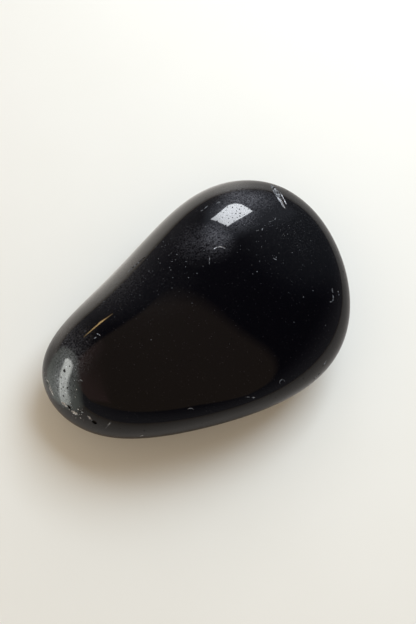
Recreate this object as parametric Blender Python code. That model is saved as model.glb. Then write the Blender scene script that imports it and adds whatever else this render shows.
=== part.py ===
"""Obsidian pebble: one lump of volcanic glass, tumbled to a pear shape and polished.

The narrow tip points along -X, the blunt end along +X and the crown along +Z.
The origin is on the surface that the stone rests on, under the middle of its box.
"""
import math

import bmesh
import bpy
from mathutils import Matrix, Vector

MM = 0.001

# Driving dimensions, in millimetres. Each row gives six cross-sections, evenly
# spaced from the tip to the blunt end. The stone tapers off at both ends like a
# ball, so a section's real half size is the value here times that taper.
STONE_LENGTH = 41.6
HALF_WIDTH = (14.9, 13.1, 13.5, 14.9, 16.5, 16.5)
SIDE_SHIFT = (3.4, 0.9, -1.4, -2.5, -2.0, 0.5)
CROWN_HEIGHT = (7.2, 7.6, 7.6, 8.3, 8.1, 7.5)
KEEL_DEPTH = (7.0, 7.0, 7.1, 7.3, 7.7, 8.5)
GIRDLE_LIFT = (-1.0, 1.0, 0.2, -0.7, -0.4, 0.4)
# How far the crown leans to the side: rise for each unit of width.
CROWN_LEAN = (-0.18, -0.14, -0.17, -0.11, -0.09, -0.21)
# The far side's upper edge is fuller than an ellipse, by this share of the radius.
FAR_SHOULDER = 0.063

# The worn flat that the stone rests on, this far below the girdle's mean plane.
REST_DEPTH = 7.5
# Cuts along each edge of the cube that the blank starts from.
BLANK_CUTS = 18

# Scars in the polished skin. A place is a direction from the middle of the round
# blank. A scar is (name, place, place that its long axis points to, length,
# width, depth), in millimetres.
SCARS = (
    ("rim_chip", (0.882, 0.160, 0.440), (0.835, 0.072, 0.545), 4.8, 0.9, 0.28),
    ("tip_chip", (-0.948, 0.012, 0.316), (-0.944, -0.050, 0.330), 1.7, 0.7, 0.22),
    ("tip_bruise", (-0.947, -0.083, 0.305), (-0.940, -0.125, 0.320), 1.3, 0.8, 0.16),
    ("tip_pit", (-0.909, -0.262, 0.322), (-0.903, -0.292, 0.312), 0.8, 0.55, 0.28),
    ("far_dimple", (0.180, 0.900, -0.400), (0.420, 0.800, -0.430), 5.2, 3.0, 0.30),
    ("keel_dimple", (-0.560, -0.420, -0.715), (-0.380, -0.600, -0.705), 4.2, 2.6, 0.26),
    ("end_dimple", (0.940, -0.180, -0.290), (0.900, -0.330, -0.285), 3.0, 1.6, 0.22),
)
SCAR_SEGMENTS = 20
SCAR_RINGS = 10


def clear_scene():
    """Remove every object, so that the file holds the pebble alone."""
    for item in list(bpy.data.objects):
        bpy.data.objects.remove(item, do_unlink=True)


def collection(name):
    """A collection of that name, linked to the scene."""
    group = bpy.data.collections.new(name)
    bpy.context.scene.collection.children.link(group)
    return group


def move_to(item, group):
    """Put an object in one collection and no other."""
    for old in list(item.users_collection):
        old.objects.unlink(item)
    group.objects.link(item)


def between(values, along):
    """Smooth curve through evenly spaced values; along runs from -1 to 1."""
    last = len(values) - 1
    stops = [2.0 * i / last - 1.0 for i in range(last + 1)]
    total = 0.0
    for i, value in enumerate(values):
        share = 1.0
        for j, stop in enumerate(stops):
            if j != i:
                share *= (along - stop) / (stops[i] - stop)
        total += value * share
    return total


def worn_point(place):
    """Point of the worn surface, in metres, for a direction on the round blank."""
    along, across, rise = place.normalized()
    ring = math.hypot(across, rise)
    facing_out = across / ring if ring > 1e-9 else 0.0
    facing_up = rise / ring if ring > 1e-9 else 0.0
    fullness = 1.0
    if facing_out > 0.0 and facing_up > 0.0:
        fullness += FAR_SHOULDER * (2.0 * facing_out * facing_up) ** 2
    width = between(HALF_WIDTH, along) * across * fullness
    crown = between(CROWN_HEIGHT, along)
    keel = between(KEEL_DEPTH, along)
    height = (keel + (crown - keel) * (1.0 + facing_up) / 2.0) * rise * fullness
    # The lean fades out below the girdle, so the underside stays level.
    lean = between(CROWN_LEAN, along) * (1.0 - min(facing_up, 0.0) ** 2)
    return Vector((
        STONE_LENGTH / 2.0 * along,
        between(SIDE_SHIFT, along) + width,
        between(GIRDLE_LIFT, along) + height + lean * width + REST_DEPTH,
    )) * MM


def make_blank():
    """A cube, cut finely, blown up to a ball and worn to the pebble's form."""
    mesh = bpy.data.meshes.new("obsidian_stone")
    bm = bmesh.new()
    bmesh.ops.create_cube(bm, size=2.0)
    bmesh.ops.subdivide_edges(bm, edges=bm.edges[:], cuts=BLANK_CUTS, use_grid_fill=True)
    for vert in bm.verts:
        # The tangent spreads the cube's grid evenly over the ball.
        even = Vector([math.tan(value * math.pi / 4.0) for value in vert.co])
        vert.co = worn_point(even)
    cut_rest_flat(bm)
    bm.normal_update()
    bm.to_mesh(mesh)
    bm.free()
    return bpy.data.objects.new("obsidian_stone", mesh)


def cut_rest_flat(bm):
    """Cut the underside off level with the ground and close it with one flat face."""
    everything = bm.verts[:] + bm.edges[:] + bm.faces[:]
    bmesh.ops.bisect_plane(bm, geom=everything, dist=1e-7, plane_co=(0.0, 0.0, 0.0),
                           plane_no=(0.0, 0.0, 1.0), clear_inner=True)
    open_edges = [edge for edge in bm.edges if edge.is_boundary]
    bmesh.ops.holes_fill(bm, edges=open_edges, sides=0)


def middle_of_box(item):
    """The middle of an object's footprint, at the level it rests on."""
    xs = [vert.co.x for vert in item.data.vertices]
    ys = [vert.co.y for vert in item.data.vertices]
    return Vector(((min(xs) + max(xs)) / 2.0, (min(ys) + max(ys)) / 2.0, 0.0))


def scar_axes(place, toward):
    """Surface point, and axes along the scar, across it and out of the stone."""
    here = worn_point(place)
    step = 0.02
    side = place.cross(toward).normalized()
    ahead = side.cross(place.normalized())
    along = (worn_point(place.normalized() + ahead * step) - here).normalized()
    across = worn_point(place.normalized() + side * step) - here
    out = along.cross(across).normalized()
    if out.dot(place) < 0.0:
        out.negate()
    return here, along, out.cross(along), out


def make_scar(name, place, toward, length, width, depth):
    """A long lens, sunk so that it takes a shallow shell-shaped flake off the skin."""
    here, along, across, out = scar_axes(Vector(place), Vector(toward))
    # A round arc across the scar, as wide and deep as the scar is.
    radius = ((width / 2.0) ** 2 + depth ** 2) / (2.0 * depth) * MM
    bpy.ops.mesh.primitive_uv_sphere_add(segments=SCAR_SEGMENTS, ring_count=SCAR_RINGS,
                                         radius=radius)
    cutter = bpy.context.object
    cutter.name = name
    stretch = Matrix.Diagonal((length / width, 1.0, 1.0, 1.0))
    turn = Matrix((along, across, out)).transposed().to_4x4()
    centre = here + out * (radius - depth * MM)
    cutter.data.transform(Matrix.Translation(centre) @ turn @ stretch)
    cutter.hide_render = True
    cutter.display_type = "WIRE"
    return cutter


def cut_scar(stone, cutter):
    """Take the cutter's shape out of the stone."""
    modifier = stone.modifiers.new(cutter.name, "BOOLEAN")
    modifier.operation = "DIFFERENCE"
    modifier.solver = "EXACT"
    modifier.object = cutter


def polished_obsidian():
    """Black volcanic glass with a wet-looking polish."""
    material = bpy.data.materials.new("polished_obsidian")
    material.use_nodes = True
    shader = material.node_tree.nodes["Principled BSDF"]
    shader.inputs["Base Color"].default_value = (0.006, 0.006, 0.008, 1.0)
    shader.inputs["Roughness"].default_value = 0.06
    shader.inputs["Metallic"].default_value = 0.0
    return material


def main():
    clear_scene()
    parts = collection("obsidian_pebble")
    cutters = collection("cutters")
    stone = make_blank()
    parts.objects.link(stone)
    shift = Matrix.Translation(-middle_of_box(stone))
    stone.data.transform(shift)
    stone.data.materials.append(polished_obsidian())
    stone.data.shade_smooth()
    for scar in SCARS:
        cutter = make_scar(*scar)
        cutter.data.transform(shift)
        move_to(cutter, cutters)
        cut_scar(stone, cutter)


main()
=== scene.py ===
import math

import bpy
import numpy as np
from mathutils import Matrix, Vector


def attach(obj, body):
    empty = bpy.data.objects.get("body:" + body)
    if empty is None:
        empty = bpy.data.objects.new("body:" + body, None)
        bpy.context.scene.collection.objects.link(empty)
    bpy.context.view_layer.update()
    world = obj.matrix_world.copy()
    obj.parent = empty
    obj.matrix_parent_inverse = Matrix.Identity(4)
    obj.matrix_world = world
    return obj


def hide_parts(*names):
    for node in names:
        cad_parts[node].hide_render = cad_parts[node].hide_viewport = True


mm = 0.001
scene = bpy.context.scene

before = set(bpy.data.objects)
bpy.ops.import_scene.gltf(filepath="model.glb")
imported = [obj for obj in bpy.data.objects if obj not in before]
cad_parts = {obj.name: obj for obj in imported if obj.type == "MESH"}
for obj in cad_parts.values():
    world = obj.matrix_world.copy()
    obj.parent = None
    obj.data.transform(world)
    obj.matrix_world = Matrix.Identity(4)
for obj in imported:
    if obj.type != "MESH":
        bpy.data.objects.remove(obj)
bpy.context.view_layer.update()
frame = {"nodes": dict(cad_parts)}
print("frame loaded:", ", ".join(frame["nodes"]))


# small helpers

def hexColour(text):
    # sRGB hex to the linear values that the shaders work in
    values = [int(text[i:i + 2], 16) / 255 for i in (1, 3, 5)]
    linear = [v / 12.92 if v <= 0.04045 else ((v + 0.055) / 1.055) ** 2.4 for v in values]
    return (*linear, 1.0)


def perMetre(sizeInMm):
    # texture scale that makes one cell or wave this long
    return 1.0 / (sizeInMm * mm)


def addNode(tree, kind, inputs=None, **settings):
    # adds one node; an input is a value or the socket that feeds it
    node = tree.nodes.new(kind)
    for name, value in settings.items():
        setattr(node, name, value)
    for name, value in (inputs or {}).items():
        socket = node.inputs[name]
        if isinstance(value, bpy.types.NodeSocket):
            tree.links.new(value, socket)
        else:
            socket.default_value = value
    return node


def newMaterial(name):
    material = bpy.data.materials.new(name)
    material.use_nodes = True
    material.node_tree.nodes.clear()
    return material, material.node_tree


def deselectAll():
    bpy.ops.object.select_all(action="DESELECT")


# camera: looks down on the crown, a little from the near side; its turn and slide, and the
# pebble's length, sections, lean and shoulder below but not its keelDepth, come from one
# fit of the outline and of the floor's reflection along the rim, made by another script

cameraView = {
    "turn": -46.87,  # degrees round the stone, 0 looks along +Y
    "elevation": 75.0,
    "distance": 170 * mm,
    "lens": 76.5,
    "nearest": 0.01,  # metres, nothing closer is drawn
    "aim": Vector((0.0, 2.53, 7.5)) * mm,
    "slide": (1.72 * mm, 0.4 * mm),  # moves the view right and up, without turning it
}


def viewAxes(view):
    # back towards the viewer, right and up
    turn, lift = math.radians(view["turn"]), math.radians(view["elevation"])
    level = math.cos(lift)
    back = Vector((math.sin(turn) * level, -math.cos(turn) * level, math.sin(lift)))
    right = Vector((math.cos(turn), math.sin(turn), 0.0))
    return back, right, back.cross(right)


def levelAxes(view):
    # right and straight away from the viewer, both along the floor
    _, right, _ = viewAxes(view)
    return right, Vector((0, 0, 1)).cross(right)


def towards(turn, zenith):
    # direction seen from the stone, in degrees: turn 0 is right and 90 away from the viewer
    right, away = levelAxes(cameraView)
    turn, zenith = math.radians(turn), math.radians(zenith)
    level = right * math.cos(turn) + away * math.sin(turn)
    return level * math.sin(zenith) + Vector((0, 0, math.cos(zenith)))


def addCamera(view):
    back, right, up = viewAxes(view)
    data = bpy.data.cameras.new("camera")
    data.lens = view["lens"]
    data.clip_start = view["nearest"]
    camera = bpy.data.objects.new("camera", data)
    scene.collection.objects.link(camera)
    slide = right * view["slide"][0] + up * view["slide"][1]
    camera.location = view["aim"] + slide + back * view["distance"]
    camera.rotation_euler = (-back).to_track_quat("-Z", "Y").to_euler()
    scene.camera = camera


addCamera(cameraView)
print("camera placed")


# the pebble

pebble = {
    "length": 41.6,  # mm, like all sizes here
    # six sections, evenly spaced from the tip to the blunt end, then tapered as a ball is
    "halfWidth": (14.9, 13.1, 13.5, 14.9, 16.5, 16.5),
    "sideShift": (3.4, 0.9, -1.4, -2.5, -2.0, 0.5),
    "crownHeight": (7.2, 7.6, 7.6, 8.3, 8.1, 7.5),
    "keelDepth": (7.0, 7.0, 7.1, 7.3, 7.7, 8.5),
    "girdleLift": (-1.0, 1.0, 0.2, -0.7, -0.4, 0.4),
    "crownLean": (-0.18, -0.14, -0.17, -0.11, -0.09, -0.21),  # rise for each unit of width
    "farShoulder": 0.063,  # how much fuller the far upper edge is than an ellipse
    "restDepth": 7.5,  # how far the worn flat lies below the girdle's mean plane
    "cuts": 95,  # along each edge of the cube that it starts from
    "smoothAngle": 25,  # degrees, sharper edges stay crisp
}

# name, place on the round blank, where its long axis points, length, width, depth (mm);
# another script turned the points where the marks show to these places, here and in
# the bruises, the pits and the scuffs
scars = (
    ("rimChip", (0.897, 0.193, 0.398), (0.865, 0.142, 0.481), 7.2, 0.78, 0.24),
    ("rimChipStreak", (0.865, 0.134, 0.483), (0.842, 0.086, 0.533), 2.8, 0.28, 0.25),
    ("rimChipEdge", (0.895, 0.130, 0.427), (0.861, 0.076, 0.502), 3.6, 0.13, 0.06),
    ("rimChipEnd", (0.914, 0.211, 0.347), (0.901, 0.185, 0.391), 0.7, 0.24, 0.16),
    ("tipChip", (-0.952, 0.030, 0.305), (-0.946, -0.020, 0.325), 1.1, 0.50, 0.18),
    ("tipHollow", (-0.945, -0.018, 0.327), (-0.946, -0.050, 0.320), 0.8, 0.42, 0.24),
    ("tipBruise", (-0.947, -0.083, 0.305), (-0.940, -0.125, 0.320), 1.1, 0.52, 0.12),
    ("tipFlake", (-0.918, -0.118, 0.378), (-0.914, -0.140, 0.380), 0.7, 0.34, 0.08),
    ("tipNick", (-0.911, -0.215, 0.352), (-0.910, -0.245, 0.333), 0.8, 0.30, 0.12),
    ("tipPit", (-0.910, -0.268, 0.317), (-0.903, -0.292, 0.312), 0.7, 0.56, 0.36),
    ("tipScratch", (-0.870, -0.369, 0.325), (-0.842, -0.367, 0.395), 2.0, 0.20, 0.06),
    ("sideLens", (-0.915, 0.318, 0.247), (-0.937, 0.230, 0.265), 2.6, 0.46, 0.07),
    ("sideScratch", (-0.937, 0.230, 0.265), (-0.947, 0.194, 0.257), 2.6, 0.38, 0.14),
    ("edgeNick", (-0.884, 0.397, 0.245), (-0.900, 0.360, 0.250), 0.8, 0.30, 0.06),
    ("whiteFlake", (-0.528, 0.394, 0.752), (-0.526, 0.370, 0.766), 0.6, 0.15, 0.04),
    ("whiteFlakeMate", (-0.557, 0.381, 0.738), (-0.547, 0.380, 0.746), 0.4, 0.12, 0.03),
    ("crownHairline", (0.499, 0.599, 0.626), (0.531, 0.585, 0.612), 1.5, 0.13, 0.04),
    ("crownNick", (0.587, 0.531, 0.611), (0.600, 0.520, 0.608), 0.5, 0.28, 0.08),
    ("ridgeDash", (0.404, 0.506, 0.762), (0.407, 0.487, 0.773), 0.6, 0.16, 0.05),
    ("ridgeTail", (0.248, 0.307, 0.919), (0.228, 0.286, 0.931), 1.3, 0.10, 0.03),
    ("sideNick", (0.594, 0.162, 0.788), (0.606, 0.150, 0.781), 0.5, 0.12, 0.04),
    ("sideNickMate", (0.620, 0.137, 0.772), (0.630, 0.142, 0.764), 0.4, 0.12, 0.04),
    ("farDash", (0.523, -0.084, 0.848), (0.528, -0.110, 0.842), 0.6, 0.10, 0.03),
    ("flankScratch", (-0.031, 0.763, 0.645), (0.034, 0.754, 0.656), 3.0, 0.20, 0.07),
    ("rightNick", (0.636, -0.568, 0.521), (0.650, -0.552, 0.522), 0.6, 0.18, 0.05),
    ("rightNickMate", (0.656, -0.614, 0.439), (0.648, -0.628, 0.432), 0.6, 0.18, 0.05),
    ("lowerCrease", (0.210, -0.967, 0.143), (0.240, -0.959, 0.152), 1.9, 0.26, 0.06),
    ("lowerCreaseEnd", (0.291, -0.922, 0.253), (0.312, -0.912, 0.265), 0.9, 0.20, 0.05),
    ("lowerDash", (-0.201, -0.850, 0.488), (-0.186, -0.862, 0.470), 0.5, 0.12, 0.04),
    ("lowerDashMate", (-0.177, -0.877, 0.446), (-0.166, -0.888, 0.430), 0.4, 0.16, 0.05),
    ("edgeMark", (-0.779, -0.616, 0.118), (-0.766, -0.625, 0.150), 0.9, 0.26, 0.05),
    ("farDimple", (0.180, 0.900, -0.400), (0.420, 0.800, -0.430), 5.2, 3.0, 0.30),
    ("keelDimple", (-0.560, -0.420, -0.715), (-0.380, -0.600, -0.705), 4.2, 2.6, 0.26),
    ("endDimple", (0.940, -0.180, -0.290), (0.900, -0.330, -0.285), 3.0, 1.6, 0.22),
)

cleftScars = {"rimChip"}  # two flat facets instead of one round bed
# tumbled smooth again; still white with crushed glass; the others show broken glass
wornScars = {"tipPit", "tipHollow", "farDimple", "keelDimple", "endDimple"}
whiteScars = {"rimChipStreak", "rimChipEdge", "rimChipEnd", "tipChip", "tipBruise", "tipNick",
              "sideScratch", "ridgeCrescent"}

# crescent bruises: name, middle of the ring, side that bites deepest, ring radius and
# groove radius (mm), how far round the ring the groove reaches each way (degrees)
bruises = (
    ("ridgeCrescent", (0.324, 0.287, 0.902), (0.351, 0.316, 0.882), 0.95, 0.08, 52.0),
    ("crownCrescent", (0.721, 0.171, 0.671), (0.712, 0.095, 0.696), 1.30, 0.06, 32.0),
    ("sideCrescent", (0.591, -0.587, 0.553), (0.595, -0.621, 0.510), 0.55, 0.07, 75.0),
    ("tipCrescent", (-0.806, 0.081, 0.586), (-0.793, 0.110, 0.599), 0.40, 0.05, 60.0),
    ("lowerRing", (-0.492, -0.707, 0.508), (-0.484, -0.692, 0.535), 0.40, 0.04, 70.0),
    ("sideRing", (0.010, -0.880, 0.475), (0.017, -0.860, 0.510), 0.34, 0.04, 120.0),
)

# how the tools that cut the scars are made
cutters = {
    "lensCells": (48, 24),  # segments and rings
    "ringCells": (40, 8),  # round the ring and round its groove
    "axisStep": 0.02,  # the step on the blank that tells which way the skin slopes
    # in groove radii: how deep a crescent goes, and how deep its groove's middle lies
    "grooveDepth": 1.3,
    "grooveSink": 0.3,
    "steepestRing": 0.9,  # sine of the furthest that a ring is tipped
    "pitDepth": 0.32,  # share of the pit's width
}

# small pits by the hundred: middle, spread as a share of the blank's radius, how many,
# smallest and largest width (mm), and whether their beds are worn smooth, grey or still
# white
pitClusters = {
    "all over": (None, 1.0, 190, 0.10, 0.20, "worn"),
    "ridge": ((0.09, 0.54, 0.84), 0.30, 60, 0.09, 0.15, "grey"),
    "crown": ((0.45, 0.10, 0.88), 0.40, 40, 0.07, 0.11, "grey"),
    "under the window's mirror image": ((0.60, 0.37, 0.71), 0.14, 120, 0.13, 0.27, "worn"),
    "tip, worn": ((-0.87, 0.17, 0.45), 0.10, 46, 0.12, 0.28, "worn"),
    "tip": ((-0.91, 0.03, 0.40), 0.15, 30, 0.10, 0.26, "white"),
    "tip edge": ((-0.93, -0.14, 0.33), 0.09, 22, 0.12, 0.30, "white"),
    "blunt end": ((0.73, -0.10, 0.67), 0.26, 50, 0.07, 0.12, "grey"),
    "blunt side": ((0.60, -0.57, 0.56), 0.13, 14, 0.10, 0.18, "worn"),
}
scatter = {
    "seed": 11,  # gives the same pits each time
    "core": 0.6,  # share of its spread that a cluster mostly keeps to
    "rarity": 2.0,  # the higher, the fewer wide pits
    "lowest": 2.0,  # mm above the floor, none lie lower
}

# single ones, each at its own place: place, width (mm), bed
singlePits = (
    ((-0.815, 0.263, 0.517), 0.46, "worn"),
    ((-0.875, 0.118, 0.469), 0.34, "worn"),
    ((-0.863, 0.155, 0.481), 0.20, "worn"),
    ((-0.777, 0.270, 0.569), 0.20, "worn"),
    ((-0.855, 0.231, 0.465), 0.26, "worn"),
    ((-0.921, 0.091, 0.378), 0.30, "worn"),
    ((0.614, 0.419, 0.669), 0.22, "worn"),
    ((0.629, 0.389, 0.673), 0.16, "worn"),
    ((0.597, 0.336, 0.728), 0.20, "worn"),
    ((0.546, 0.351, 0.761), 0.18, "worn"),
    ((0.174, 0.716, 0.675), 0.15, "grey"),
    ((0.142, 0.695, 0.704), 0.14, "grey"),
    ((0.178, 0.663, 0.727), 0.15, "grey"),
    ((0.154, 0.544, 0.825), 0.15, "grey"),
    ((-0.031, 0.622, 0.782), 0.17, "grey"),
    ((-0.082, 0.717, 0.692), 0.14, "grey"),
    ((-0.217, 0.604, 0.767), 0.15, "grey"),
    ((-0.320, 0.508, 0.799), 0.15, "grey"),
    ((-0.349, 0.666, 0.659), 0.14, "grey"),
    ((-0.235, 0.370, 0.899), 0.12, "grey"),
    ((-0.386, 0.464, 0.797), 0.14, "grey"),
    ((0.062, 0.513, 0.856), 0.15, "grey"),
    ((0.026, 0.428, 0.903), 0.14, "grey"),
    ((0.085, 0.334, 0.939), 0.12, "grey"),
    ((0.395, 0.026, 0.918), 0.14, "grey"),
    ((0.386, -0.042, 0.921), 0.12, "grey"),
    ((0.312, -0.535, 0.785), 0.10, "grey"),
    ((0.468, -0.441, 0.766), 0.12, "grey"),
    ((0.542, -0.460, 0.704), 0.14, "grey"),
    ((0.445, -0.708, 0.548), 0.14, "grey"),
    ((-0.564, 0.495, 0.661), 0.14, "grey"),
    ((-0.656, 0.503, 0.562), 0.15, "grey"),
    ((-0.822, 0.348, 0.451), 0.15, "white"),
)


def curveThrough(values, along):
    # smooth curve through evenly spaced values, along from -1 to 1
    stops = np.linspace(-1.0, 1.0, len(values))
    total = np.zeros_like(along)
    for i, value in enumerate(values):
        others = np.delete(stops, i)
        share = np.prod([(along - stop) / (stops[i] - stop) for stop in others], axis=0)
        total += value * share
    return total


def wornSurface(directions):
    # where the worn surface lies, in metres, for each direction from the ball's middle
    directions = np.asarray(directions, dtype=float)
    directions = directions / np.linalg.norm(directions, axis=1, keepdims=True)
    along, across, rise = directions.T
    ring = np.maximum(np.hypot(across, rise), 1e-9)  # never nought at the ends
    facingOut, facingUp = across / ring, rise / ring
    shoulder = (2.0 * np.maximum(facingOut, 0.0) * np.maximum(facingUp, 0.0)) ** 2
    fullness = 1.0 + pebble["farShoulder"] * shoulder
    width = curveThrough(pebble["halfWidth"], along) * across * fullness
    crown = curveThrough(pebble["crownHeight"], along)
    keel = curveThrough(pebble["keelDepth"], along)
    height = (keel + (crown - keel) * (1.0 + facingUp) / 2.0) * rise * fullness
    # the lean fades out below the girdle, so that the underside stays level
    lean = curveThrough(pebble["crownLean"], along) * (1.0 - np.minimum(facingUp, 0.0) ** 2)
    x = pebble["length"] / 2.0 * along
    y = curveThrough(pebble["sideShift"], along) + width
    z = curveThrough(pebble["girdleLift"], along) + height + lean * width + pebble["restDepth"]
    return np.column_stack((x, y, z)) * mm


def makeBlank():
    # a cube, cut finely, rounded to a ball and worn down to the pebble
    deselectAll()
    bpy.ops.mesh.primitive_cube_add(size=2.0)
    stone = bpy.context.object
    stone.name = "obsidianPebble"
    bpy.ops.object.mode_set(mode="EDIT")
    bpy.ops.mesh.select_all(action="SELECT")
    bpy.ops.mesh.subdivide(number_cuts=pebble["cuts"])
    bpy.ops.object.mode_set(mode="OBJECT")
    points = np.empty(len(stone.data.vertices) * 3)
    stone.data.vertices.foreach_get("co", points)
    even = np.tan(points.reshape(-1, 3) * math.pi / 4.0)  # keeps the cells one size
    stone.data.vertices.foreach_set("co", wornSurface(even).ravel())
    bpy.ops.object.mode_set(mode="EDIT")
    bpy.ops.mesh.select_all(action="SELECT")
    # the worn flat that it rests on
    bpy.ops.mesh.bisect(plane_co=(0, 0, 0), plane_no=(0, 0, 1), use_fill=True, clear_inner=True,
                        threshold=1e-7)
    bpy.ops.object.mode_set(mode="OBJECT")
    return stone


def middleOfBox(stone):
    points = np.empty(len(stone.data.vertices) * 3)
    stone.data.vertices.foreach_get("co", points)
    points = points.reshape(-1, 3)
    x, y = (points.min(axis=0) + points.max(axis=0))[:2] / 2.0
    return Vector((x, y, 0.0))


def scarAxes(place, toward):
    # the scar's point of the skin, and axes along it, across it and out of the stone
    place = np.array(place) / np.linalg.norm(place)
    side = np.cross(place, toward)
    side /= np.linalg.norm(side)
    ahead = np.cross(side, place)
    step = cutters["axisStep"]
    felt = wornSurface([place, place + ahead * step, place + side * step])
    here, onward, aside = [Vector(point) for point in felt]
    along = (onward - here).normalized()
    out = along.cross(aside - here).normalized()
    if out.dot(Vector(place)) < 0:
        out.negate()
    return here, along, out.cross(along), out


def takeAway(stone, cutter, name, bed):
    # cuts the shape out of the stone, and leaves a bed of that material
    cutter.name = name
    cutter.data.materials.append(bed)
    deselectAll()
    stone.select_set(True)
    bpy.context.view_layer.objects.active = stone
    cut = stone.modifiers.new(name, "BOOLEAN")
    cut.operation = "DIFFERENCE"
    cut.solver = "EXACT"
    cut.material_mode = "TRANSFER"
    cut.object = cutter
    bpy.ops.object.modifier_apply(modifier=name)
    bpy.data.objects.remove(cutter, do_unlink=True)


def bedRadius(width, depth):
    # of the ball that bites this wide and deep
    return ((width / 2.0) ** 2 + depth ** 2) / (2.0 * depth)


def cutScar(stone, skin, shift, name, place, toward, length, width, depth):
    # a long lens, or a bar on its edge, sunk so that it takes a shallow flake off the skin
    here, along, across, out = scarAxes(place, toward)
    deselectAll()
    if name in cleftScars:
        radius = width * mm
        bpy.ops.mesh.primitive_cylinder_add(vertices=4, radius=radius, depth=length * mm)
        lie = Matrix.Rotation(math.radians(90.0), 4, "Y")
        stretch = Matrix.Diagonal((1.0, width / (2.0 * depth), 1.0, 1.0)) @ lie
    else:
        radius = bedRadius(width, depth) * mm
        segments, rings = cutters["lensCells"]
        bpy.ops.mesh.primitive_uv_sphere_add(segments=segments, ring_count=rings, radius=radius)
        stretch = Matrix.Diagonal((length / width, 1.0, 1.0, 1.0))
    cutter = bpy.context.object
    turn = Matrix((along, across, out)).transposed().to_4x4()
    centre = here + shift + out * (radius - depth * mm)
    cutter.data.transform(Matrix.Translation(centre) @ turn @ stretch)
    bed = skin if name in wornScars else crushedGlass if name in whiteScars else brokenGlass
    takeAway(stone, cutter, name, bed)


def cutBruise(stone, shift, name, place, toward, ringRadius, grooveRadius, reach):
    # a thin ring, tipped so that only one side of it bites into the skin
    here, along, across, out = scarAxes(place, toward)
    drop = grooveRadius * cutters["grooveDepth"] / (1.0 - math.cos(math.radians(reach)))
    segments, grooveSegments = cutters["ringCells"]
    deselectAll()
    bpy.ops.mesh.primitive_torus_add(major_segments=segments, minor_segments=grooveSegments,
                                     major_radius=ringRadius * mm, minor_radius=grooveRadius * mm)
    cutter = bpy.context.object
    tip = Matrix.Rotation(math.asin(min(drop / ringRadius, cutters["steepestRing"])), 4, "Y")
    turn = Matrix((along, across, out)).transposed().to_4x4()
    centre = here + shift + out * (drop - grooveRadius * cutters["grooveSink"]) * mm
    cutter.data.transform(Matrix.Translation(centre) @ turn @ tip)
    takeAway(stone, cutter, name, crushedGlass if name in whiteScars else brokenGlass)


def placePits():
    # where each pit goes, how wide it is and its bed, none of them touching another
    draw = np.random.default_rng(scatter["seed"])
    wanted = [(np.array(place), width, bed) for place, width, bed in singlePits]
    for middle, spread, count, smallest, largest, bed in pitClusters.values():
        for _ in range(count):
            away = draw.normal(size=3)
            place = away if middle is None else np.array(middle) + away * spread * scatter["core"]
            width = smallest * (largest / smallest) ** draw.random() ** scatter["rarity"]
            wanted.append((place, width, bed))
    pits = []
    for place, width, bed in wanted:
        place = place / np.linalg.norm(place)
        here = wornSurface([place])[0] / mm
        clear = all(np.linalg.norm(here - other) > width + wide for _, other, wide, _ in pits)
        if clear and here[2] > scatter["lowest"]:
            pits.append((place, here, width, bed))
    return pits


def cutPits(stone, shift, pits, bed, material):
    # shallow round bites, all of one bed in one go
    bites = []
    for place, _, width, kind in pits:
        if kind != bed:
            continue
        here, _, _, out = scarAxes(place, place[[1, 2, 0]])
        depth = width * cutters["pitDepth"]
        radius = bedRadius(width, depth)
        bpy.ops.mesh.primitive_ico_sphere_add(subdivisions=2, radius=radius * mm,
                                              location=here + shift + out * (radius - depth) * mm)
        bites.append(bpy.context.object)
    deselectAll()
    for bite in bites:
        bite.select_set(True)
    bpy.context.view_layer.objects.active = bites[0]
    bpy.ops.object.join()
    bpy.ops.object.transform_apply(location=True, rotation=True, scale=True)
    print("pits,", bed + ":", len(bites))
    takeAway(stone, bites[0], "pits", material)


# finishes

glassIndex = 1.49  # of refraction, for obsidian

obsidian = {
    "body": "#030305",
    "bloom": "#9a9aa0",  # what pin-pricks and scuffs scatter
    "polish": 0.03,  # coat roughness
    "underPolish": 0.03,  # specular level of the body, as the coat does the mirroring
    # real polishing scratches and pin-pricks are too fine to show in a render, so both
    # are drawn coarser: the scratches' grain (mm), then for pin-pricks how far apart
    # they lie (mm), their radius as a share of that and the rarity of bright ones
    "scuffGrain": 0.24,
    "finePricks": (0.34, 0.24, 3.0),
    "coarsePricks": (1.1, 0.09, 1.8),
    "prickCore": 0.4,  # share of a pin-prick's radius at its full strength
    "wear": 0.13,  # how much the pin-pricks show where the polish is good
    "scuffedWear": 2.4,  # how much more they show in a scuff
    "hazeGrain": (0.40, 0.68),  # grain values where a scuff's haze starts and is full
    "hazeLeast": 0.07,  # haze of a scuff between its grains
    "roughGrain": (0.38, 0.66),  # grain values for the least and the most roughness
    "wornRoughness": (0.30, 0.48),
    "glitterFull": 0.02,  # wear at which the glitter is full
    "glitter": 0.76,  # metallic, makes the worn spots flash like tiny mirrors
    "dulling": 0.5,  # how much of the polish full wear takes away
}

# hazy scuffs in the polish: place on the round blank, radius (mm), strength
scuffs = {
    "besideCrescent": ((0.36, 0.40, 0.843), 3.8, 0.36),
    "ridge": ((0.27, 0.50, 0.82), 4.4, 0.20),
    "ridgeEnd": ((-0.05, 0.515, 0.856), 7.0, 0.045),
    "farFlank": ((-0.20, 0.72, 0.66), 7.0, 0.10),
    "roundWindow": ((0.61, 0.38, 0.70), 4.6, 0.26),
    "aboveWindow": ((0.707, 0.43, 0.56), 3.6, 0.32),
    "besideChip": ((0.79, 0.27, 0.56), 3.4, 0.22),
    "bluntEnd": ((0.80, -0.12, 0.58), 10.0, 0.06),
    "farSide": ((0.727, -0.205, 0.655), 5.0, 0.08),
    "rightOfWindow": ((0.750, 0.330, 0.573), 2.6, 0.36),
    "tip": ((-0.70, 0.41, 0.586), 4.8, 0.32),
    "tipSide": ((-0.90, 0.20, 0.40), 3.6, 0.38),
}


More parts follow.
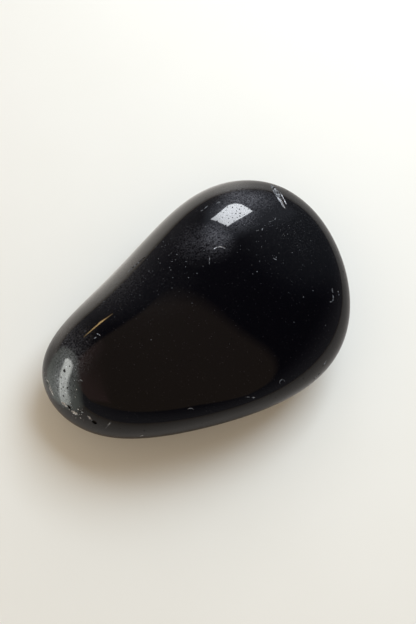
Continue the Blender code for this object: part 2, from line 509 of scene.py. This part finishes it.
def addPinPricks(tree, place, apart, radius, rarity):
    # round dots of random strength, one at most in each cell
    cells = addNode(tree, "ShaderNodeTexVoronoi", {
        "Vector": place, "Scale": perMetre(apart), "Randomness": 1.0})
    pick = addNode(tree, "ShaderNodeSeparateColor", {"Color": cells.outputs["Color"]})
    dot = addNode(tree, "ShaderNodeMapRange", {
        "Value": cells.outputs["Distance"], "From Min": radius * obsidian["prickCore"],
        "From Max": radius, "To Min": 1.0, "To Max": 0.0})
    strength = addNode(tree, "ShaderNodeMath", {0: pick.outputs["Red"], 1: rarity}, operation="POWER")
    faded = addNode(tree, "ShaderNodeMath", {
        0: dot.outputs["Result"], 1: strength.outputs[0]}, operation="MULTIPLY")
    return faded.outputs[0]


def addScuffs(tree, place, shift):
    # how worn each place is: the strongest of the patches that reach it
    patches = 0.0
    for spot, radius, strength in scuffs.values():
        middle = Vector(wornSurface([spot])[0]) + shift
        away = addNode(tree, "ShaderNodeVectorMath", {0: place, 1: middle}, operation="DISTANCE")
        patch = addNode(tree, "ShaderNodeMapRange", {
            "Value": away.outputs["Value"], "From Max": radius * mm, "To Min": strength,
            "To Max": 0.0}, interpolation_type="SMOOTHSTEP")
        patches = addNode(tree, "ShaderNodeMath", {
            0: patch.outputs["Result"], 1: patches}, operation="MAXIMUM").outputs[0]
    return patches


def tumblePolishedObsidian(shift):
    # volcanic glass from a tumbler's last polish: black and mirror-like; pin-prick
    # pits and fine scuffs scatter a grey bloom round the bright reflections
    material, tree = newMaterial("tumble-polished obsidian")
    place = addNode(tree, "ShaderNodeTexCoord").outputs["Object"]
    patches = addScuffs(tree, place, shift)
    grain = addNode(tree, "ShaderNodeTexNoise", {
        "Vector": place, "Scale": perMetre(obsidian["scuffGrain"]), "Detail": 3.0,
        "Roughness": 0.75}).outputs["Fac"]
    hazeStart, hazeFull = obsidian["hazeGrain"]
    scuffed = addNode(tree, "ShaderNodeMapRange", {
        "Value": grain, "From Min": hazeStart, "From Max": hazeFull,
        "To Min": obsidian["hazeLeast"]})
    haze = addNode(tree, "ShaderNodeMath", {
        0: patches, 1: scuffed.outputs["Result"]}, operation="MULTIPLY").outputs[0]
    fine = addPinPricks(tree, place, *obsidian["finePricks"])
    coarse = addPinPricks(tree, place, *obsidian["coarsePricks"])
    specks = addNode(tree, "ShaderNodeMath", {0: fine, 1: coarse}, operation="MAXIMUM").outputs[0]
    shown = addNode(tree, "ShaderNodeMath", {
        0: patches, 1: obsidian["scuffedWear"], 2: obsidian["wear"]},
        operation="MULTIPLY_ADD").outputs[0]
    pricked = addNode(tree, "ShaderNodeMath", {0: specks, 1: shown}, operation="MULTIPLY").outputs[0]
    worn = addNode(tree, "ShaderNodeMath", {0: haze, 1: pricked}, operation="MAXIMUM").outputs[0]
    colour = addNode(tree, "ShaderNodeMix", {
        "Factor": worn, "A": hexColour(obsidian["body"]), "B": hexColour(obsidian["bloom"])},
        data_type="RGBA")
    glitter = addNode(tree, "ShaderNodeMapRange", {
        "Value": worn, "From Max": obsidian["glitterFull"], "To Max": obsidian["glitter"]})
    smoothGrain, roughGrain = obsidian["roughGrain"]
    least, most = obsidian["wornRoughness"]
    roughness = addNode(tree, "ShaderNodeMapRange", {
        "Value": grain, "From Min": smoothGrain, "From Max": roughGrain, "To Min": least,
        "To Max": most})
    gloss = addNode(tree, "ShaderNodeMath", {
        0: worn, 1: -obsidian["dulling"], 2: 1.0}, operation="MULTIPLY_ADD")
    shader = addNode(tree, "ShaderNodeBsdfPrincipled", {
        "Base Color": colour.outputs["Result"],
        "Metallic": glitter.outputs["Result"],
        "Roughness": roughness.outputs["Result"],
        "IOR": glassIndex,
        "Specular IOR Level": obsidian["underPolish"],
        "Coat Weight": gloss.outputs[0],
        "Coat Roughness": obsidian["polish"],
        "Coat IOR": glassIndex,
    })
    addNode(tree, "ShaderNodeOutputMaterial", {"Surface": shader.outputs["BSDF"]})
    return material


fracture = {
    "roughness": 0.22,
    "bump": 0.8,
    "bumpHeight": 0.12,  # mm
}


def brokenObsidian(name, grainSize, dark, light, start, full):
    # a fracture bed: glass mottled with the whitish crush that a knock leaves, which
    # starts and is full at these values of the grain
    material, tree = newMaterial(name)
    place = addNode(tree, "ShaderNodeTexCoord").outputs["Object"]
    crush = addNode(tree, "ShaderNodeTexNoise", {
        "Vector": place, "Scale": perMetre(grainSize), "Detail": 4.0, "Roughness": 0.65})
    whitish = addNode(tree, "ShaderNodeMapRange", {
        "Value": crush.outputs["Fac"], "From Min": start, "From Max": full})
    colour = addNode(tree, "ShaderNodeMix", {
        "Factor": whitish.outputs["Result"], "A": hexColour(dark), "B": hexColour(light)},
        data_type="RGBA")
    bump = addNode(tree, "ShaderNodeBump", {
        "Height": crush.outputs["Fac"], "Strength": fracture["bump"],
        "Distance": fracture["bumpHeight"] * mm})
    shader = addNode(tree, "ShaderNodeBsdfPrincipled", {
        "Base Color": colour.outputs["Result"],
        "Roughness": fracture["roughness"],
        "IOR": glassIndex,
        "Normal": bump.outputs["Normal"],
    })
    addNode(tree, "ShaderNodeOutputMaterial", {"Surface": shader.outputs["BSDF"]})
    return material


# glassy, greyish shell-shaped fracture; the grain sizes are in mm
brokenGlass = brokenObsidian("freshly broken obsidian", 0.4, "#101113", "#90969c", 0.44, 0.68)
# chalky white powdered glass in the bottom of knocks
crushedGlass = brokenObsidian("crushed obsidian", 0.18, "#2e3034", "#dadee4", 0.42, 0.58)


def buildPebble():
    stone = makeBlank()
    shift = -middleOfBox(stone)
    skin = tumblePolishedObsidian(shift)
    stone.data.materials.append(skin)
    stone.data.transform(Matrix.Translation(shift))
    for scar in scars:
        cutScar(stone, skin, shift, *scar)
    for bruise in bruises:
        cutBruise(stone, shift, *bruise)
    pits = placePits()
    for bed, material in (("worn", skin), ("grey", brokenGlass), ("white", crushedGlass)):
        cutPits(stone, shift, pits, bed, material)
    deselectAll()
    stone.select_set(True)
    bpy.context.view_layer.objects.active = stone
    bpy.ops.object.shade_smooth_by_angle(angle=math.radians(pebble["smoothAngle"]))
    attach(stone, "root")
    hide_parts("obsidian_stone")
    print("pebble:", len(stone.data.polygons), "faces")


buildPebble()


# floor

floorLook = {
    "size": 3.0,  # metres
    "colour": "#e9ebe6",
    "mottle": "#e6e8e2",
    "mottleSize": 12.0,  # mm
    "roughness": 0.6,
    "shine": 0.2,  # specular level
    # what the polish mirrors of it is painted light and shade: a painted light under the window, dimmer
    # all round, and a painted shadow, darkest in the stone's own shade
    "mirroredPaintedLight": "#fffcf4",
    "mirroredDim": "#bab8b4",
    "mirroredPaintedShadow": "#7c7a76",
    # the turn that a part lies at, and how nearly a place has to face that way for the
    # part to start and to be full (cosines)
    "windowTurn": 124,
    "windowEdge": (0.62, 0.92),
    "shadeTurn": 258,
    "shadeEdge": (0.40, 0.85),
    # mm from the stone's middle: where the shade ends and is full, and where the bright
    # part starts to fade and has faded to its least
    "shadeReach": (30.0, 14.0),
    "brightReach": (50.0, 240.0),
    "brightLeast": 0.35,
}


def addFloor():
    # matt laminate: pale all over, without a glare; in the polish's reflections its colour carries
    # painted light towards the window and a painted shadow beside the stone
    material, tree = newMaterial("matt white laminate")
    place = addNode(tree, "ShaderNodeTexCoord").outputs["Object"]
    mottle = addNode(tree, "ShaderNodeTexNoise", {
        "Vector": place, "Scale": perMetre(floorLook["mottleSize"]), "Detail": 3.0})
    colour = addNode(tree, "ShaderNodeMix", {
        "Factor": mottle.outputs["Fac"], "A": hexColour(floorLook["colour"]),
        "B": hexColour(floorLook["mottle"])}, data_type="RGBA")
    outward = addNode(tree, "ShaderNodeVectorMath", {0: place}, operation="NORMALIZE")
    sides = []
    for turn, (start, full) in ((floorLook["windowTurn"], floorLook["windowEdge"]),
                                (floorLook["shadeTurn"], floorLook["shadeEdge"])):
        facing = addNode(tree, "ShaderNodeVectorMath", {
            0: outward.outputs["Vector"], 1: towards(turn, 90)}, operation="DOT_PRODUCT")
        side = addNode(tree, "ShaderNodeMapRange", {
            "Value": facing.outputs["Value"], "From Min": start, "From Max": full},
            interpolation_type="SMOOTHSTEP")
        sides.append(side.outputs["Result"])
    underWindow, inShade = sides
    distance = addNode(tree, "ShaderNodeVectorMath", {0: place}, operation="LENGTH").outputs["Value"]
    # painted shadow: the mirrored floor darkens near the stone, on the side away from the light
    end, full = floorLook["shadeReach"]
    close = addNode(tree, "ShaderNodeMapRange", {
        "Value": distance, "From Min": end * mm, "From Max": full * mm},
        interpolation_type="SMOOTHSTEP")
    shade = addNode(tree, "ShaderNodeMath", {
        0: inShade, 1: close.outputs["Result"]}, operation="MULTIPLY")
    # painted light: the mirrored floor is brightest towards the window, and fades with distance
    start, end = floorLook["brightReach"]
    near = addNode(tree, "ShaderNodeMapRange", {
        "Value": distance, "From Min": start * mm, "From Max": end * mm, "To Min": 1.0,
        "To Max": floorLook["brightLeast"]})
    bright = addNode(tree, "ShaderNodeMath", {
        0: underWindow, 1: near.outputs["Result"]}, operation="MULTIPLY")
    dim = addNode(tree, "ShaderNodeMix", {
        "Factor": shade.outputs[0], "A": hexColour(floorLook["mirroredDim"]),
        "B": hexColour(floorLook["mirroredPaintedShadow"])}, data_type="RGBA")
    mirrored = addNode(tree, "ShaderNodeMix", {
        "Factor": bright.outputs[0], "A": dim.outputs["Result"],
        "B": hexColour(floorLook["mirroredPaintedLight"])}, data_type="RGBA")
    # only glossy rays see the painted light and painted shadow; the camera and the lamps' bounce see
    # the plain colour
    ray = addNode(tree, "ShaderNodeLightPath")
    seen = addNode(tree, "ShaderNodeMix", {
        "Factor": ray.outputs["Is Glossy Ray"], "A": colour.outputs["Result"],
        "B": mirrored.outputs["Result"]}, data_type="RGBA")
    shader = addNode(tree, "ShaderNodeBsdfPrincipled", {
        "Base Color": seen.outputs["Result"], "Roughness": floorLook["roughness"],
        "Specular IOR Level": floorLook["shine"]})
    addNode(tree, "ShaderNodeOutputMaterial", {"Surface": shader.outputs["BSDF"]})
    deselectAll()
    bpy.ops.mesh.primitive_plane_add(size=floorLook["size"])
    floor = bpy.context.object
    floor.name = "floor"
    floor.data.materials.append(material)


addFloor()
print("floor laid")


# light

lights = {
    # turn and zenith (degrees), distance and size (metres), radiance, colour
    "key": (50.0, 34.0, 0.32, 0.17, 9.0, "#e2f0ff"),
    "wash": (75.0, 50.0, 0.12, 0.06, 2.2, "#f2f6ff"),
}


def addLights():
    # lights the floor; the stone's polish mirrors the cards instead
    for name, (turn, zenith, distance, size, radiance, colour) in lights.items():
        data = bpy.data.lights.new(name, "AREA")
        data.size = size
        data.energy = radiance * math.pi * size ** 2
        data.color = hexColour(colour)[:3]
        lamp = bpy.data.objects.new(name, data)
        scene.collection.objects.link(lamp)
        direction = towards(turn, zenith)
        lamp.location = direction * distance
        lamp.rotation_euler = direction.to_track_quat("Z", "Y").to_euler()
        lamp.visible_camera = False
        lamp.visible_glossy = False


# studio cards that the polish mirrors: corners, radiance, colour, soft edge (radians,
# as seen from the stone); a far card's corners are (turn, zenith) in degrees, a near
# card's are (right, away, up) in mm from where the camera aims, and one more value
# tells how bright the card is at that corner; another script found most corners, by
# following rays from the camera off the polish, and some were then moved by hand
farCardDistance = {"windowCard": 1.0, "windowGlow": 1.25}  # metres
cards = {
    "windowCard": (((106.4, 63.4, 0.6), (103.0, 64.3, 0.8), (99.1, 66.8), (95.1, 70.3), (91.9, 70.9),
                    (88.8, 69.4), (85.6, 66.3), (82.6, 63.2), (84.5, 60.9), (87.2, 58.3),
                    (91.0, 55.9), (95.5, 53.6, 0.9), (99.4, 56.6, 0.8), (103.2, 60.1, 0.7)),
                   14.6, "#f6faff", 0.002),
    "windowGlow": (((82, 84), (92, 86), (101, 80), (107, 72), (109, 60), (106, 51), (102, 47),
                    (97, 47), (88, 51), (80, 55), (74, 62), (70, 72), (74, 80)),
                   0.29, "#e4ecff", 0.08),
    "tipCard": (((-25.2, -5.8, 7.5), (-24.8, -5.7, 8.2), (-24.4, -6.4, 8.7), (-24.2, -7.8, 8.9),
                 (-24.6, -9.7, 7.7), (-24.9, -11.5, 5.6), (-23.6, -12.8, 3.6, 0.6),
                 (-21.9, -13.4, 2.7, 0.3), (-20.7, -13.9, 2.0, 0.35), (-20.0, -14.2, 0.9, 0.3),
                 (-20.2, -14.0, 0.0, 0.3), (-21.0, -13.5, -0.2, 0.3), (-22.3, -13.0, 0.4, 0.25),
                 (-24.4, -12.3, 2.1, 0.45), (-25.8, -11.4, 3.3, 0.6), (-26.1, -9.7, 4.9, 0.8),
                 (-25.6, -7.6, 6.7)), 8.0, "#fcfff8", 0.035),
    "tipGlow": (((-27.2, -0.7, 5.9), (-25.4, -3.0, 10.1), (-25.1, -6.6, 11.0), (-25.5, -11.0, 9.4),
                 (-25.5, -14.5, 6.9), (-25.1, -16.8, 4.6), (-24.3, -18.6, 2.7), (-24.6, -18.9, -0.9),
                 (-25.5, -17.7, -2.5), (-26.5, -16.0, -4.1), (-27.2, -13.8, -5.8), (-28.3, -11.3, -5.1),
                 (-29.2, -8.4, -3.1), (-29.4, -5.3, 0.8), (-28.6, -2.7, 3.6)), 0.9, "#f8fff4", 0.07),
    "goldCard": (((-23.1, 4.1, 11.6, 0.10), (-21.6, 5.5, 11.5, 0.25), (-20.4, 6.8, 11.4, 0.5),
                  (-19.6, 7.7, 11.3, 0.7), (-19.0, 8.3, 11.1, 1.0), (-18.5, 8.6, 11.1, 0.8),
                  (-17.8, 9.1, 11.2, 0.3), (-16.7, 9.7, 11.2, 0.12), (-16.6, 9.6, 11.4, 0.12),
                  (-17.6, 8.9, 11.4, 0.3), (-18.3, 8.4, 11.5, 0.8), (-18.8, 8.0, 11.5, 1.0),
                  (-19.4, 7.4, 11.6, 0.7), (-20.3, 6.5, 11.7, 0.5), (-21.5, 5.3, 11.8, 0.25),
                  (-23.0, 3.9, 11.8, 0.10)), 14.0, "#ffd692", 0.003),
    "warmCard": (((-45.6, -4.7, 27.0), (-32.1, 5.0, 27.0), (-27.9, 10.7, 27.0), (-25.2, 13.6, 27.0),
                  (-21.4, 16.9, 27.0), (-19.5, 19.0, 27.0), (-17.0, 20.3, 27.0), (-13.3, 17.5, 27.0),
                  (-8.6, 14.0, 27.0), (-4.1, 11.0, 27.0), (-1.3, 8.8, 27.0), (3.9, 3.9, 27.0),
                  (9.3, -0.8, 27.0), (14.5, -4.7, 27.0), (19.8, -8.7, 27.0), (26.5, -15.0, 27.0),
                  (33.1, -23.8, 27.0), (39.2, -36.9, 27.0), (35.7, -49.1, 27.0), (22.7, -45.8, 27.0),
                  (7.7, -41.9, 27.0), (-8.5, -49.3, 27.0), (-25.4, -55.5, 27.0), (-54.6, -59.3, 27.0),
                  (-100.0, -74.0, 27.0), (-93.4, -43.0, 27.0), (-56.7, -15.5, 27.0)),
                 0.18, "#ffdfc5", 0.08),
    "plumCard": (((-44.1, -4.8, 26.0), (-31.2, 4.5, 26.0), (-27.0, 9.1, 26.0, 0.5),
                  (-24.9, 3.8, 26.0, 0.2), (-28.4, -3.9, 26.0, 0.2), (-30.1, -11.7, 26.0, 0.2),
                  (-32.5, -22.3, 26.0, 0.3), (-42.2, -40.0, 26.0), (-89.8, -60.6, 26.0),
                  (-89.8, -41.6, 26.0), (-54.7, -15.2, 26.0)), 0.32, "#ffcfc4", 0.10),
}


def cardCorner(corner, far):
    if far:
        return towards(*corner[:2]) * far
    right, away = levelAxes(cameraView)
    sideways, onward, height = corner[:3]
    return (right * sideways + away * onward) * mm + Vector((0, 0, height * mm)) + cameraView["aim"]


def cardMesh(name, corners, softness):
    # one bright face inside a soft rim, whose outer edge gives no light
    far = farCardDistance.get(name)
    ring = [cardCorner(corner, far) for corner in corners]
    brightAt = 2 if far else 3  # where a corner's brightness stands
    brightness = [corner[brightAt] if len(corner) > brightAt else 1.0 for corner in corners]
    count = len(ring)
    middle = sum(ring, Vector()) / count
    facing = sum(((ring[i] - middle).cross(ring[(i + 1) % count] - middle)
                  for i in range(count)), Vector()).normalized()
    rim = []
    for i, point in enumerate(ring):
        edge = (point - ring[i - 1]).normalized() + (ring[(i + 1) % count] - point).normalized()
        outward = edge.normalized().cross(facing)
        rim.append(point + outward * softness * (point - cameraView["aim"]).length)
    faces = [tuple(range(count))]
    faces += [(i, i + count, (i + 1) % count + count, (i + 1) % count) for i in range(count)]
    mesh = bpy.data.meshes.new(name)
    mesh.from_pydata([tuple(v) for v in ring + rim], [], faces)
    glow = mesh.attributes.new("glow", "FLOAT", "POINT")
    glow.data.foreach_set("value", brightness + [0.0] * count)
    return mesh


def addCards():
    for name, (corners, radiance, colour, softness) in cards.items():
        mesh = cardMesh(name, corners, softness)
        material, tree = newMaterial(name)
        strength = addNode(tree, "ShaderNodeAttribute", attribute_name="glow")
        light = addNode(tree, "ShaderNodeEmission", {"Color": hexColour(colour), "Strength": radiance})
        clear = addNode(tree, "ShaderNodeBsdfTransparent")
        mix = addNode(tree, "ShaderNodeMixShader", {
            0: strength.outputs["Fac"], 1: clear.outputs["BSDF"], 2: light.outputs["Emission"]})
        addNode(tree, "ShaderNodeOutputMaterial", {"Surface": mix.outputs["Shader"]})
        mesh.materials.append(material)
        card = bpy.data.objects.new(name, mesh)
        scene.collection.objects.link(card)
        card.visible_camera = False
        card.visible_diffuse = False
        card.visible_shadow = False


room = {
    "overhead": "#25212c",  # what the polish mirrors
    "low": "#68666c",  # the same, near the horizon
    "lowEdge": (0.68, 0.05),  # sines of the heights where that starts and is full
    "right": "#51565f",  # the same, towards the far right
    "rightWay": (52, 68),  # turn and zenith, in degrees
    "rightEdge": (0.77, 1.0),  # cosines of the angles from there where it starts and is full
    "fill": "#c8b5a0",  # what lights the floor's shadows
    "backdrop": "#eceae4",
}


def addRoom():
    world = bpy.data.worlds.new("studio")
    scene.world = world
    world.use_nodes = True
    tree = world.node_tree
    tree.nodes.clear()
    ray = addNode(tree, "ShaderNodeLightPath")
    direction = addNode(tree, "ShaderNodeTexCoord").outputs["Generated"]
    height = addNode(tree, "ShaderNodeSeparateXYZ", {"Vector": direction}).outputs["Z"]
    start, full = room["lowEdge"]
    low = addNode(tree, "ShaderNodeMapRange", {
        "Value": height, "From Min": start, "From Max": full}, interpolation_type="SMOOTHSTEP")
    facing = addNode(tree, "ShaderNodeVectorMath", {
        0: direction, 1: towards(*room["rightWay"])}, operation="DOT_PRODUCT")
    start, full = room["rightEdge"]
    right = addNode(tree, "ShaderNodeMapRange", {
        "Value": facing.outputs["Value"], "From Min": start, "From Max": full},
        interpolation_type="SMOOTHSTEP")
    layers = (
        (low.outputs["Result"], room["low"]),
        (right.outputs["Result"], room["right"]),
        (ray.outputs["Is Diffuse Ray"], room["fill"]),
        (ray.outputs["Is Camera Ray"], room["backdrop"]),
    )
    colour = hexColour(room["overhead"])
    for share, over in layers:
        mix = addNode(tree, "ShaderNodeMix", {
            "Factor": share, "A": colour, "B": hexColour(over)}, data_type="RGBA")
        colour = mix.outputs["Result"]
    background = addNode(tree, "ShaderNodeBackground", {"Color": colour, "Strength": 1.0})
    addNode(tree, "ShaderNodeOutputWorld", {"Surface": background.outputs["Background"]})


addLights()
addCards()
addRoom()
scene.view_settings.view_transform = "Standard"
print("lights and room set")
